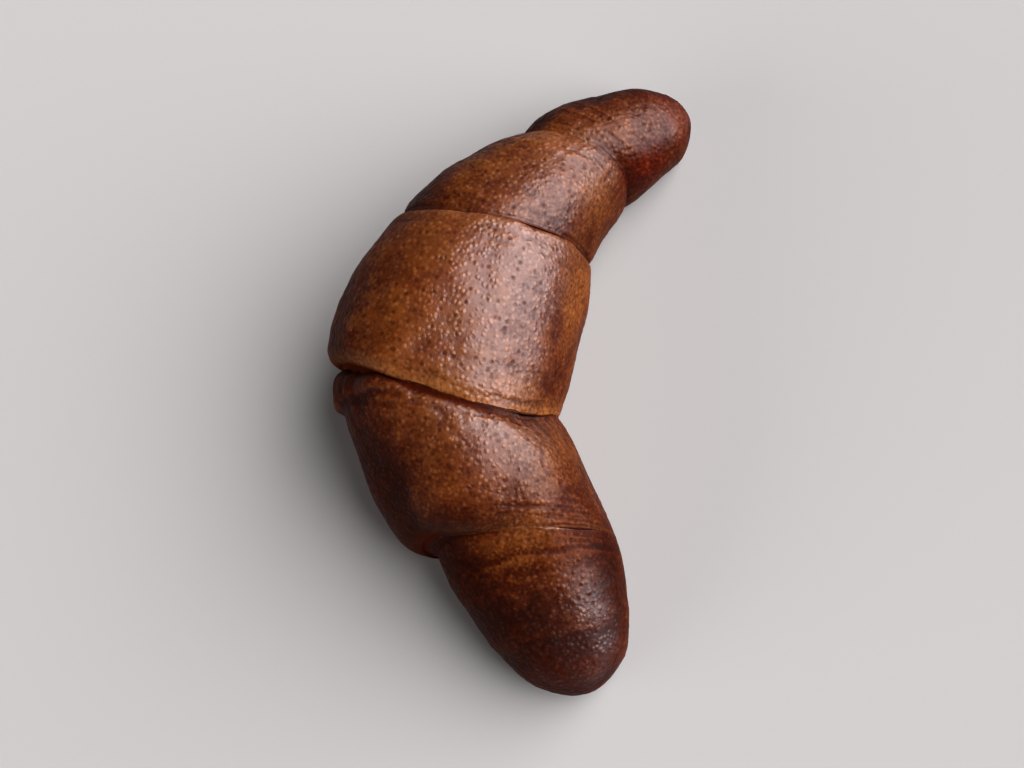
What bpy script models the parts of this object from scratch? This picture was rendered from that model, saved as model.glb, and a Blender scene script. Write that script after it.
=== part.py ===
"""A browned croissant, 15 cm long: one sheet of buttered dough rolled up and curled into a crescent.

Seen from above, +X runs along the crescent to its upper horn and +Y to its convex side. It lies on
z = 0 on the flat underside that baking on a tray gave it, with the middle of its outline over the
origin. Five bands of dough show. The middle one is the outermost wrap, and each band towards a horn
comes out from under the edge of the one before it.
"""

import math
from typing import NamedTuple

import bmesh
import bpy
from mathutils import Vector

MM = 0.001

# How finely the body is divided
POINTS_ROUND = 44
RINGS_ON_A_TURN = 4
RINGS_ON_A_BODY = 9

# The shape of every cross-section, as shares of its height
WIDEST_AT = 0.42
DEPTH_BELOW_WIDEST = 0.62
SQUARENESS = 2.25  # 2 is an ellipse
UNDERSIDE_ROUNDING = 2.6 * MM
GROOVE_SHARE = 0.35  # of how far the sides turn in, the part by which a crease lifts off the tray

# The finish of the crust
CRUST_COLOUR = (0.165, 0.052, 0.017, 1.0)
CRUST_ROUGHNESS = 0.42


class Edge(NamedTuple):
    """One end of a band: its two side points seen from above, and how it is finished, in millimetres."""

    outer: tuple[float, float]
    inner: tuple[float, float]
    height: float
    bow: float = 0.0  # how far it reaches towards the upper horn over the crown
    crown_turn: float = 0.0  # how deep it turns in at the top
    side_turn: float = 0.0  # how deep it turns in at the sides
    turn_length: float = 5.0  # along how much of the band it does so
    closed: bool = False  # it turns in all the way, to the point of a horn


class Band(NamedTuple):
    """A band of dough between two edges, the first nearer the upper horn."""

    first: Edge
    last: Edge
    crown: float  # how much higher it is half way
    belly: float  # how far its convex side swells out half way
    hollow: float  # the same on its concave side


UPPER_HORN = Band(
    first=Edge((71.5, -45.5), (58.5, -48.0), 15.0, closed=True),
    last=Edge((62.0, -6.0), (47.2, -33.5), 28.0, bow=6.0, crown_turn=0.6, side_turn=1.2),
    crown=1.5,
    belly=4.0,
    hollow=1.0,
)
UPPER_SHOULDER = Band(
    first=Edge(
        (59.0, -3.0), (45.4, -33.6), 30.0, bow=6.0, crown_turn=2.0, side_turn=2.6, turn_length=3.5
    ),
    last=Edge((41.0, 19.8), (29.4, -24.1), 41.0, bow=1.5, crown_turn=0.5, side_turn=1.2),
    crown=1.5,
    belly=3.0,
    hollow=0.5,
)
MIDDLE = Band(
    first=Edge(
        (38.6, 22.8), (28.1, -24.2), 43.0, bow=1.5, crown_turn=1.8, side_turn=3.0, turn_length=3.5
    ),
    last=Edge(
        (1.7, 41.0), (-9.4, -16.9), 46.0, bow=-6.5, crown_turn=3.2, side_turn=4.2, turn_length=4.5
    ),
    crown=2.0,
    belly=5.0,
    hollow=0.5,
)
LOWER_SHOULDER = Band(
    first=Edge((-1.2, 36.4), (-9.9, -15.8), 43.5, bow=-6.5, crown_turn=0.7, side_turn=1.2),
    last=Edge((-42.4, 22.1), (-38.8, -27.8), 35.5, bow=1.5, crown_turn=2.2, side_turn=3.6),
    crown=1.5,
    belly=4.5,
    hollow=0.5,
)
LOWER_HORN = Band(
    first=Edge((-43.3, 13.4), (-39.2, -27.7), 33.0, bow=1.5, crown_turn=0.5, side_turn=1.0),
    last=Edge((-78.3, -13.8), (-71.3, -29.1), 16.0, turn_length=8.0, closed=True),
    crown=2.0,
    belly=2.5,
    hollow=1.5,
)
BANDS = (UPPER_HORN, UPPER_SHOULDER, MIDDLE, LOWER_SHOULDER, LOWER_HORN)


def clear_scene() -> None:
    """Removes every object of the scene."""
    for item in list(bpy.data.objects):
        bpy.data.objects.remove(item, do_unlink=True)


def mix(start: float, end: float, share: float) -> float:
    """The value that lies a share of the way from start to end."""
    return start + (end - start) * share


def edge_middle(edge: Edge) -> Vector:
    """The point half way across an edge, seen from above."""
    return (Vector(edge.outer) + Vector(edge.inner)) / 2


def band_length(band: Band) -> float:
    """The length of a band along the crescent."""
    return (edge_middle(band.last) - edge_middle(band.first)).length


def swell_at(share: float) -> float:
    """A parabola along a band: 0 at both ends and 1 half way."""
    return 4 * share * (1 - share)


def stations(band: Band) -> list[float]:
    """Distances along a band, in shares of its length, closer together where its edges turn in."""
    first_turn = band.first.turn_length / band_length(band)
    last_turn = band.last.turn_length / band_length(band)
    quarter = [step / RINGS_ON_A_TURN * math.pi / 2 for step in range(RINGS_ON_A_TURN)]
    opening = [first_turn * (1 - math.cos(angle)) for angle in quarter]
    closing = [1 - last_turn * (1 - math.cos(angle)) for angle in reversed(quarter)]
    body = [
        mix(first_turn, 1 - last_turn, step / (RINGS_ON_A_BODY - 1))
        for step in range(RINGS_ON_A_BODY)
    ]
    return opening + body + closing


def turned_share(distance: float, length: float) -> float:
    """How far an edge has turned in at a distance from it: 1 at the edge, 0 from its turn's length on."""
    reach = max(0.0, 1 - distance / length)
    return 1 - math.sqrt(1 - min(reach, 1.0) ** 2)


def lie_on_tray(height: float, floor: float) -> float:
    """Raises what would be under the floor to it, with a rounded corner."""
    above = height - floor
    if above <= -UNDERSIDE_ROUNDING:
        return floor
    if above >= UNDERSIDE_ROUNDING:
        return height
    return floor + (above + UNDERSIDE_ROUNDING) ** 2 / (4 * UNDERSIDE_ROUNDING)


def fuller(value: float) -> float:
    """A sine or cosine bent towards the fuller curve of the dough's cross-section."""
    return math.copysign(abs(value) ** (2 / SQUARENESS), value)


def cross_section(band: Band, share: float) -> list[Vector]:
    """The points round the body at a share of a band's length."""
    first, last = band.first, band.last
    swell = swell_at(share)
    outer = Vector(first.outer).lerp(Vector(last.outer), share)
    inner = Vector(first.inner).lerp(Vector(last.inner), share)
    side = (outer - inner).normalized()
    ahead = Vector((side.y, -side.x))
    if ahead.x < 0:
        ahead.negate()
    outer += side * band.belly * swell
    inner -= side * band.hollow * swell
    height = mix(first.height, last.height, share) + band.crown * swell
    bow = mix(first.bow, last.bow, share)

    length = band_length(band)
    lowered = 0.0
    narrowed = 0.0
    size = 1.0
    for edge, distance in ((first, share * length), (last, (1 - share) * length)):
        turned = turned_share(distance, edge.turn_length)
        lowered += edge.crown_turn * turned
        narrowed += edge.side_turn * turned
        if edge.closed:
            size *= 1 - turned

    middle = (outer + inner) / 2
    half_width = (outer - inner).length / 2 - narrowed
    widest = height * WIDEST_AT
    above = height - lowered - widest
    below = height * DEPTH_BELOW_WIDEST
    floor = narrowed * GROOVE_SHARE * MM
    points = []
    for step in range(POINTS_ROUND):
        angle = 2 * math.pi * step / POINTS_ROUND
        out, up = fuller(math.cos(angle)), fuller(math.sin(angle))
        rise = (above if up > 0 else below) * up
        place = middle + side * half_width * out * size + ahead * bow * max(up, 0.0)
        z = lie_on_tray((widest + rise * size) * MM, floor)
        points.append(Vector((place.x * MM, place.y * MM, z)))
    return points


def skin(bm: bmesh.types.BMesh, ring: list, following: list) -> None:
    """Joins two rings of vertices with a strip of faces."""
    for step in range(POINTS_ROUND):
        beside = (step + 1) % POINTS_ROUND
        bm.faces.new((ring[step], ring[beside], following[beside], following[step]))


def close_horn(bm: bmesh.types.BMesh, ring: list, tip: Vector) -> None:
    """Closes the last ring of a horn on its point."""
    point = bm.verts.new(tip)
    for step in range(POINTS_ROUND):
        bm.faces.new((ring[step], ring[(step + 1) % POINTS_ROUND], point))


def middle_of(points: list[Vector]) -> Vector:
    """The mean of some points."""
    return sum(points, Vector()) / len(points)


def centre_over_origin(bm: bmesh.types.BMesh) -> None:
    """Moves the body so that the middle of its outline is over the origin and its underside on z = 0."""
    lowest = Vector([min(vertex.co[axis] for vertex in bm.verts) for axis in range(3)])
    highest = Vector([max(vertex.co[axis] for vertex in bm.verts) for axis in range(3)])
    middle = (lowest + highest) / 2
    bmesh.ops.translate(bm, verts=bm.verts, vec=(-middle.x, -middle.y, -lowest.z))


def crust_material() -> bpy.types.Material:
    """The egg-washed, browned crust."""
    material = bpy.data.materials.new("crust")
    material.use_nodes = True
    shader = material.node_tree.nodes["Principled BSDF"]
    shader.inputs["Base Color"].default_value = CRUST_COLOUR
    shader.inputs["Roughness"].default_value = CRUST_ROUGHNESS
    shader.inputs["Metallic"].default_value = 0.0
    return material


def make_croissant() -> bpy.types.Object:
    """Builds the whole croissant as one closed body."""
    bm = bmesh.new()
    rings = []
    for band in BANDS:
        shares = stations(band)
        if band.first.closed:
            shares = shares[1:]
        if band.last.closed:
            shares = shares[:-1]
        rings += [cross_section(band, share) for share in shares]
    loops = [[bm.verts.new(point) for point in ring] for ring in rings]
    for ring, following in zip(loops, loops[1:]):
        skin(bm, ring, following)
    close_horn(bm, loops[0], middle_of(cross_section(BANDS[0], 0.0)))
    close_horn(bm, loops[-1], middle_of(cross_section(BANDS[-1], 1.0)))
    bmesh.ops.recalc_face_normals(bm, faces=bm.faces)
    centre_over_origin(bm)

    mesh = bpy.data.meshes.new("croissant")
    bm.to_mesh(mesh)
    bm.free()
    mesh.shade_smooth()
    mesh.materials.append(crust_material())
    croissant = bpy.data.objects.new("croissant", mesh)
    bpy.context.scene.collection.objects.link(croissant)
    return croissant


clear_scene()
make_croissant()
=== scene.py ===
"""The looks of a browned croissant: its blistered, egg-washed crust, its rolled edges and its flaking layers.

The body is modelled as a baker makes it: a ring of dough is drawn out from the upper horn, swells and
narrows with each band, tucks under at each edge and closes at the lower horn. It is then laid on its flat
underside, smoothed, and given its folds, blisters and dents. Sizes are in millimetres, and MM turns them
into the metres of the frame. +X points at the upper horn and +Y to the convex side.
"""

import logging
import math
from dataclasses import dataclass, field
from enum import Enum
from typing import Protocol

import bmesh
import bpy
import numpy as np
from mathutils import Matrix, Vector, noise

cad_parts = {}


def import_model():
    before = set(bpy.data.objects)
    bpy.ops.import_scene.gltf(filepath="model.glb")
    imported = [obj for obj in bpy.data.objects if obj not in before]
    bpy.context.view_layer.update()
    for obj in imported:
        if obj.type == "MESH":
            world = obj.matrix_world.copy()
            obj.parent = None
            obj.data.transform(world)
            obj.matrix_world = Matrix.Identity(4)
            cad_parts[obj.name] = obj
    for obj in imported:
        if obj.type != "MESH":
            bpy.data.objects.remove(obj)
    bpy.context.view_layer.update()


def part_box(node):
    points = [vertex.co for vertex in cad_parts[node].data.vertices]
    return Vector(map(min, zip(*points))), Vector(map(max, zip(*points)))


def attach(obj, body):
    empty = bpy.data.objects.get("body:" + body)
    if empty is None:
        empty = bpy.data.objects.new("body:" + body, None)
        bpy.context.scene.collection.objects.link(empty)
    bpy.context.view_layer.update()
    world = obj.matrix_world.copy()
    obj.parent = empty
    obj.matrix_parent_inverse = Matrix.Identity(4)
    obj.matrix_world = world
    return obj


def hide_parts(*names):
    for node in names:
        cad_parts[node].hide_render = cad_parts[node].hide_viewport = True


MM = 0.001
NODE = "croissant"
BODY = "root"

Pair = tuple[float, float]
Place = tuple[float, float, float]
Colour = tuple[float, float, float]
Socket = bpy.types.NodeSocket
Value = bpy.types.NodeSocket | float
Number = float | np.ndarray

log = logging.getLogger("croissant")


def between(start: float, end: float, share: Number) -> Number:
    """What lies a share of the way from a start to an end."""
    return start + (end - start) * share


class Finish(Enum):
    """How the edge of a band of dough ends."""

    OVER = "lies over the next band, with a rounded lip"
    UNDER = "comes out from under the next band"
    POINT = "closes to the point of a horn"


@dataclass(frozen=True)
class Edge:
    """One end of a band, in millimetres: its side points seen from above, and how far it turns in."""

    outer: Pair
    inner: Pair
    height: float
    finish: Finish
    bow: float = 0.0  # how far it reaches towards the upper horn over the crown
    outer_turn: float = 0.0  # how deep it turns in on the convex side
    crown_turn: float = 0.0  # the same at the top
    inner_turn: float = 0.0  # the same on the concave side
    turn_length: float = 4.0  # along how much of the band it does so
    skew: float = 0.0  # how far it runs ahead on the convex side, and back on the concave one
    golden: float = 0.0  # how golden its rim has stayed, from 0 to 1

    def middle(self) -> Vector:
        """The point half way across."""
        return (Vector(self.outer) + Vector(self.inner)) / 2


@dataclass(frozen=True)
class Section:
    """A ring round the body, in metres: its middle at its widest level, its turns and its size."""

    centre: Vector
    heading: float  # its turn about Z, in radians
    lean: float  # how far its crown leans towards the upper horn, in radians
    half_width: float
    rise: float  # from its widest level up to its crown
    band: int
    from_first: float  # how far the band's first edge is, in millimetres
    from_last: float  # how far its last edge is, in millimetres
    turned: float  # how far the edge has turned in here, from 0 to 1


@dataclass(frozen=True)
class Band:
    """A band of dough between two edges, the first nearer the upper horn, in millimetres."""

    first: Edge
    last: Edge
    crown: float  # how much higher it is half way
    belly: float  # how far its convex side swells out half way
    hollow: float  # the same on its concave side
    bake_and_shade: float = 0.0  # how much darker than the middle band it is: a browner bake towards a horn's point, and painted shade on its convex side and on the lower horn
    washed: Pair = (1.0, 1.0)  # how thick the egg wash lies on it, at its first and its last edge
    inner_reach: Pair = (0.87, 0.87)  # how far the wash reaches down its concave side, at the same two

    def length(self) -> float:
        """The band's length along the crescent, in millimetres."""
        return (self.last.middle() - self.first.middle()).length

    def nearer(self, ring: Section) -> Edge:
        """The edge that is nearer to a ring."""
        return self.first if ring.from_first < ring.from_last else self.last

    def section(self, place: float, edge: Edge, part: float, number: int) -> Section:
        """A ring round the band.

        Args:
            place: how far from the band's first edge the ring is, in millimetres.
            edge: the edge that turns in at this ring.
            part: how far that edge has turned in here, from 0 to 1.
            number: the band's number, counted from the upper horn.

        Returns:
            The ring's place and size.
        """
        share = place / self.length()
        swell = 4 * max(share, 0.0) * max(1 - share, 0.0)
        outer = Vector(self.first.outer).lerp(Vector(self.last.outer), share)
        inner = Vector(self.first.inner).lerp(Vector(self.last.inner), share)
        side = (outer - inner).normalized()
        outer += side * self.belly * swell
        inner -= side * self.hollow * swell
        height = between(self.first.height, self.last.height, share) + self.crown * swell
        bow = between(self.first.bow, self.last.bow, share)
        widest = height * Body.WIDEST_AT
        rise = height - widest
        if edge.finish is Finish.POINT:
            half_width = (outer - inner).length / 2 * (1 - part)
            rise *= 1 - part
        else:
            outer -= side * edge.outer_turn * part
            inner += side * edge.inner_turn * part
            half_width = (outer - inner).length / 2
            rise -= edge.crown_turn * part
        middle = (outer + inner) / 2
        return Section(
            centre=Vector((middle.x, middle.y, widest)) * MM,
            heading=math.atan2(-side.x, side.y),
            lean=math.atan2(bow, height - widest),
            half_width=half_width * MM,
            rise=rise * MM,
            band=number,
            from_first=place,
            from_last=self.length() - place,
            turned=0.0 if edge.finish is Finish.POINT else part,
        )


UPPER_HORN = Band(
    first=Edge((72.4, -47.4), (60.0, -50.8), 15.0, Finish.POINT, turn_length=8.0),
    last=Edge(
        (61.0, -8.2), (46.6, -33.8), 29.4, Finish.UNDER,
        bow=6.0, outer_turn=0.5, crown_turn=0.2, inner_turn=0.3, turn_length=6.0,
    ),
    crown=1.5,
    belly=6.0,
    hollow=1.0,
    bake_and_shade=0.58,
    washed=(0.65, 0.6),
    inner_reach=(0.75, 0.8),
)
UPPER_SHOULDER = Band(
    first=Edge(
        (57.2, -5.8), (45.8, -33.8), 29.8, Finish.OVER,
        bow=6.0, outer_turn=0.9, crown_turn=0.45, inner_turn=0.4, turn_length=4.5,
    ),
    last=Edge(
        (38.9, 20.4), (29.4, -24.4), 42.0, Finish.UNDER,
        bow=1.5, outer_turn=0.3, crown_turn=0.2, inner_turn=0.4, turn_length=1.3,
    ),
    crown=1.5,
    belly=3.6,
    hollow=0.3,
    bake_and_shade=0.2,
    washed=(1.05, 1.0),
    inner_reach=(0.95, 0.85),
)
MIDDLE = Band(
    first=Edge(
        (37.2, 22.9), (28.4, -24.7), 42.8, Finish.OVER,
        bow=2.2, outer_turn=1.0, crown_turn=0.8, inner_turn=0.9, turn_length=1.6, golden=0.3,
    ),
    last=Edge(
        (3.0, 39.0), (-10.0, -16.6), 46.0, Finish.OVER,
        bow=-2.9, outer_turn=3.8, crown_turn=1.0, inner_turn=0.3, turn_length=3.6, skew=1.8, golden=0.8,
    ),
    crown=2.0,
    belly=3.7,
    hollow=1.3,
    washed=(1.5, 1.2),
    inner_reach=(0.95, 0.9),
)
LOWER_SHOULDER = Band(
    first=Edge(
        (0.6, 36.6), (-10.4, -16.5), 45.6, Finish.UNDER,
        bow=-2.9, outer_turn=4.0, crown_turn=1.3, inner_turn=0.2, turn_length=4.6, skew=1.8,
    ),
    last=Edge(
        (-42.2, 21.2), (-38.9, -30.3), 35.5, Finish.OVER,
        bow=2.6, outer_turn=5.6, crown_turn=0.5, inner_turn=0.15, turn_length=5.0, skew=0.8, golden=0.15,
    ),
    crown=1.5,
    belly=2.4,
    hollow=0.8,
    bake_and_shade=0.26,
    washed=(1.4, 0.65),
    inner_reach=(1.0, 0.5),
)
LOWER_HORN = Band(
    first=Edge(
        (-43.1, 12.8), (-39.5, -30.4), 34.9, Finish.UNDER,
        bow=2.6, outer_turn=0.8, crown_turn=0.2, inner_turn=0.1, skew=0.8,
    ),
    last=Edge((-78.3, -15.0), (-71.8, -31.0), 16.0, Finish.POINT, turn_length=8.0),
    crown=2.0,
    belly=3.6,
    hollow=2.2,
    bake_and_shade=1.0,
    washed=(0.12, 2.3),
    inner_reach=(0.7, 0.85),
)
BANDS = (UPPER_HORN, UPPER_SHOULDER, MIDDLE, LOWER_SHOULDER, LOWER_HORN)


@dataclass
class Body:
    """The rolled dough itself: a closed skin drawn from ring to ring, with its flat underside.

    Its surface carries attributes that the smoothing takes along: "band", "from_first" and "from_last"
    (millimetres from the band's edges), "turned" (how far an edge has turned in), and "side" and "up",
    the cosine and the sine of the place round the ring.
    """

    WIDEST_AT = 0.42  # the level at which a ring is widest, as a share of its height
    SQUARENESS = 2.25  # of a ring's curve; 2 is an ellipse
    GATHER = 0.28  # how much closer together a ring's points are over the crown, in radians
    WAVER_TURNS = 1.9  # how quickly the waver of an edge changes round the ring
    WAVER_STEP = 3.7  # sets the waver of one crease apart from the next one's
    WAVERS = ((1.0, 1.0), (3.1, 0.5), (8.3, 0.4))  # how fine each of its layers is, and how strong

    bands: tuple[Band, ...] = BANDS
    points_round: int = 60
    ring_spacing: float = 2.8
    smoothing: int = 2
    waver: float = 0.5  # how far the edges run ahead and back
    waver_reach: float = 6.0  # how far from an edge the dough goes with it
    # Rings at an edge: how far from it, as a share of its turn's length, and how far in it is there
    lip: tuple[Pair, ...] = ((0.65, 0.06), (0.38, 0.22), (0.17, 0.46), (0.04, 0.72), (0.0, 0.9), (0.14, 1.0))
    tuck: tuple[Pair, ...] = ((0.55, 0.1), (0.3, 0.36), (0.1, 0.75), (-0.02, 1.0))
    tip_angles: tuple[float, ...] = (70.0, 50.0, 32.0, 16.0, 5.0)  # of the rings round a horn's point
    obj: bpy.types.Object | None = field(default=None, init=False)

    def build(self) -> bpy.types.Object:
        """Draws out the whole body, lays it on its underside and smooths it.

        Returns:
            The finished mesh object, with its place in its mesh.
        """
        rings = self.sections()
        self.start_ring(rings[0])
        for before, ring in zip(rings, rings[1:]):
            self.draw_out(before, ring)
        self.close_horns()
        self.mark(rings)
        self.let_edges_waver(rings)
        self.lay_down()
        self.smooth()
        self.centre(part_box(NODE))
        return self.obj

    def sections(self) -> list[Section]:
        """All rings, from the tip of the upper horn to the tip of the lower one.

        Returns:
            The rings, closer together where an edge turns in.
        """
        rings = []
        for number, band in enumerate(self.bands):
            length = band.length()
            opening = [(d, band.first, part) for d, part in self.turn_of(band.first)]
            closing = [(length - d, band.last, part) for d, part in self.turn_of(band.last)]
            start, end = band.first.turn_length, length - band.last.turn_length
            steps = max(2, round((end - start) / self.ring_spacing))
            body = [(start + (end - start) * i / steps, band.first, 0.0) for i in range(steps + 1)]
            for place, edge, part in opening[::-1] + body + closing:
                rings.append(band.section(place, edge, part, number))
        return rings

    def turn_of(self, edge: Edge) -> list[Pair]:
        """How an edge turns in.

        Args:
            edge: the edge.

        Returns:
            Distances from the edge line in millimetres, and how far it has turned in at each, outermost last.
        """
        if edge.finish is Finish.POINT:
            angles = [math.radians(a) for a in self.tip_angles]
            return [(edge.turn_length * (1 - math.cos(a)), 1 - math.sin(a)) for a in angles]
        steps = self.lip if edge.finish is Finish.OVER else self.tuck
        return [(edge.turn_length * d, part) for d, part in steps]

    def start_ring(self, ring: Section) -> None:
        """Adds the first ring, as a circle stood up and fitted to its section.

        Args:
            ring: the section at the tip of the upper horn.
        """
        bpy.ops.object.select_all(action="DESELECT")
        bpy.ops.mesh.primitive_circle_add(
            vertices=self.points_round, radius=ring.rise, rotation=(0, math.pi / 2, 0)
        )
        self.obj = bpy.context.object
        self.obj.name = self.obj.data.name = "croissant_crust"
        bpy.ops.object.transform_apply(location=True, rotation=True, scale=True)
        for vertex, angle in zip(self.obj.data.vertices, self.angles()):
            vertex.co = Vector((0, self.fuller(math.cos(angle)), self.fuller(math.sin(angle)))) * ring.rise
        bpy.ops.object.mode_set(mode="EDIT")
        bpy.ops.mesh.select_all(action="SELECT")
        bpy.ops.transform.translate(value=ring.centre)
        bpy.ops.transform.resize(
            value=(1, ring.half_width / ring.rise, 1), center_override=ring.centre
        )
        self.turn(ring.lean, "Y", ring.centre)
        self.turn(ring.heading, "Z", ring.centre)

    def angles(self) -> list[float]:
        """The angles of a ring's points, which are closer together over the crown than underneath."""
        even = [2 * math.pi * i / self.points_round for i in range(self.points_round)]
        return [angle + self.GATHER * math.cos(angle) for angle in even]

    def fuller(self, value: float) -> float:
        """A sine or cosine bent towards the fuller curve of the dough's cross-section."""
        return math.copysign(abs(value) ** (2 / self.SQUARENESS), value)

    @staticmethod
    def turn(angle: float, axis: str, centre: Vector) -> None:
        """Turns what is selected by a right-hand angle; with no window the operator turns the other way."""
        bpy.ops.transform.rotate(value=-angle, orient_axis=axis, center_override=centre)

    def draw_out(self, before: Section, ring: Section) -> None:
        """Extrudes the open end from one ring to the next.

        Args:
            before: the section that the open end has.
            ring: the section that it is given.
        """
        bpy.ops.mesh.extrude_region_move(
            TRANSFORM_OT_translate={"value": ring.centre - before.centre}
        )
        self.turn(-before.heading, "Z", ring.centre)
        self.turn(-before.lean, "Y", ring.centre)
        bpy.ops.transform.resize(
            value=(1, ring.half_width / before.half_width, ring.rise / before.rise),
            center_override=ring.centre,
        )
        self.turn(ring.lean, "Y", ring.centre)
        self.turn(ring.heading, "Z", ring.centre)

    def close_horns(self) -> None:
        """Draws each open end together into the point of its horn."""
        bpy.ops.mesh.extrude_region_move()
        bpy.ops.mesh.merge(type="CENTER")
        bpy.ops.mesh.select_all(action="DESELECT")
        bm = bmesh.from_edit_mesh(self.obj.data)
        for edge in bm.edges:
            if edge.is_boundary:
                edge.select_set(True)
        bmesh.update_edit_mesh(self.obj.data)
        bpy.ops.mesh.extrude_region_move()
        bpy.ops.mesh.merge(type="CENTER")
        bpy.ops.mesh.select_all(action="SELECT")
        bpy.ops.mesh.normals_make_consistent(inside=False)
        bpy.ops.object.mode_set(mode="OBJECT")

    def mark(self, rings: list[Section]) -> None:
        """Writes where each point of the rings is on the body, which the smoothing carries on.

        Args:
            rings: the sections, in the order in which they were drawn.
        """
        mesh = self.obj.data
        angles = np.array(self.angles())
        points = [rings[i // self.points_round] for i in range(len(rings) * self.points_round)]
        points += [rings[-1], rings[0]]
        values = {
            name: np.array([getattr(point, name) for point in points], np.float32)
            for name in ("band", "from_first", "from_last", "turned")
        }
        values["side"] = np.append(np.tile(np.cos(angles), len(rings)), (0.0, 0.0))
        values["up"] = np.append(np.tile(np.sin(angles), len(rings)), (0.0, 0.0))
        for name, column in values.items():
            add_attribute(mesh, name, column)

    def let_edges_waver(self, rings: list[Section]) -> None:
        """Pushes the edges of the bands forwards and back a little, as hand-rolled dough has them.

        Args:
            rings: the sections, in the order in which they were drawn.
        """
        points = vertex_array(self.obj.data)
        for number, ring in enumerate(rings):
            crease = ring.band + (0.5 if ring.from_last < ring.from_first else -0.5)
            if crease < 0 or crease > len(self.bands) - 1:
                continue
            near = math.exp(-((min(ring.from_first, ring.from_last) / self.waver_reach) ** 2))
            ahead = np.array((math.cos(ring.heading), math.sin(ring.heading), 0.0))
            skew = self.bands[ring.band].nearer(ring).skew
            for i, angle in enumerate(self.angles()):
                side, up = math.cos(angle), math.sin(angle)
                spot = (side * self.WAVER_TURNS, up * self.WAVER_TURNS, crease * self.WAVER_STEP)
                layers = [strength * noise.noise([fine * s for s in spot]) for fine, strength in self.WAVERS]
                push = self.waver * sum(layers) + skew * max(0.0, up) * side * 2
                points[number * self.points_round + i] += ahead * push * near * MM
        set_vertices(self.obj.data, points)

    def lay_down(self) -> None:
        """Presses what would be under the tray flat on it."""
        bpy.ops.object.mode_set(mode="EDIT")
        bpy.ops.mesh.select_all(action="DESELECT")
        bm = bmesh.from_edit_mesh(self.obj.data)
        for vertex in bm.verts:
            vertex.select_set(vertex.co.z < 0)
        bm.select_flush_mode()
        bmesh.update_edit_mesh(self.obj.data)
        bpy.ops.transform.resize(value=(1, 1, 0), center_override=(0, 0, 0))
        bpy.ops.mesh.select_all(action="DESELECT")
        bpy.ops.object.mode_set(mode="OBJECT")

    def smooth(self) -> None:
        """Rounds the rings into one smooth skin."""
        modifier = self.obj.modifiers.new("smooth", "SUBSURF")
        modifier.levels = modifier.render_levels = self.smoothing
        bpy.ops.object.modifier_apply(modifier=modifier.name)
        bpy.ops.object.shade_smooth()

    def centre(self, box: tuple[Vector, Vector]) -> None:
        """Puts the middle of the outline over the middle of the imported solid's box.

        Args:
            box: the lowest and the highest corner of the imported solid.
        """
        points = vertex_array(self.obj.data)
        own = (points.min(0) + points.max(0)) / 2
        goal = (np.array(box[0]) + np.array(box[1])) / 2
        points[:, :2] += (goal - own)[:2]
        set_vertices(self.obj.data, points)


def vertex_array(mesh: bpy.types.Mesh) -> np.ndarray:
    """Reads where a mesh's vertices are.

    Args:
        mesh: the mesh.

    Returns:
        The vertices' places, one row each.
    """
    points = np.empty(len(mesh.vertices) * 3, np.float32)
    mesh.vertices.foreach_get("co", points)
    return points.reshape(-1, 3).astype(float)


def set_vertices(mesh: bpy.types.Mesh, points: np.ndarray) -> None:
    """Moves a mesh's vertices to new places."""
    mesh.vertices.foreach_set("co", points.astype(np.float32).ravel())
    mesh.update()


def add_attribute(mesh: bpy.types.Mesh, name: str, values: np.ndarray) -> None:
    """Gives each vertex a number that the reliefs and the finish read."""
    mesh.attributes.new(name, "FLOAT", "POINT").data.foreach_set("value", values.astype(np.float32))


def read_attribute(mesh: bpy.types.Mesh, name: str) -> np.ndarray:
    """Reads the numbers that an attribute gives the vertices.

    Args:
        mesh: the mesh.
        name: the attribute's name.

    Returns:
        The numbers, one a vertex.
    """
    values = np.empty(len(mesh.vertices), np.float32)
    mesh.attributes[name].data.foreach_get("value", values)
    return values.astype(float)


def noise_at(points: np.ndarray) -> np.ndarray:
    """Smooth noise between about -1 and 1 at each row of places."""
    return np.array([noise.noise(point) for point in points.tolist()])


def ease(values: np.ndarray, low: float, high: float) -> np.ndarray:
    """Goes smoothly from 0 where a value is at the low mark to 1 where it is at the high one."""
    share = np.clip((values - low) / (high - low), 0, 1)
    return share * share * (3 - 2 * share)


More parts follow.
